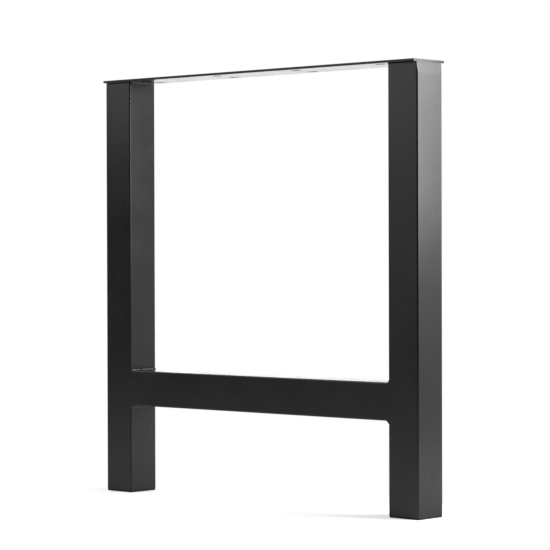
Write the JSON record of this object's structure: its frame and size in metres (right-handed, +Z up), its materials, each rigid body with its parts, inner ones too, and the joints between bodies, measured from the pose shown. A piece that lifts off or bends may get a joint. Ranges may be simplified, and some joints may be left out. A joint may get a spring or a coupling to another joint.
{
  "type": "table leg",
  "caption": "Welded H-shaped table leg of square steel tube with a slotted plate on top and plastic foot caps.",
  "frame": {"origin": "on the floor, under the middle of the frame, between the two feet", "axes": "+X along the leg's width from the left upright to the right one, +Y from front to back, +Z up to the plate"},
  "size_m": [0.7, 0.076, 0.71],
  "materials": {
    "powder_coat": "satin black powder coat",
    "coated_weld": "satin black powder coat over the weld",
    "cap_plastic": "matt black moulded plastic"
  },
  "bodies": {
    "root": {"mounting_plate": "powder_coat", "left_upright": "powder_coat", "right_upright": "powder_coat", "crossbar": "powder_coat", "left_crossbar_weld": "coated_weld", "right_crossbar_weld": "coated_weld", "left_plate_weld": "coated_weld", "right_plate_weld": "coated_weld", "left_foot_cap": "cap_plastic", "right_foot_cap": "cap_plastic"}
  },
  "joints": []
}
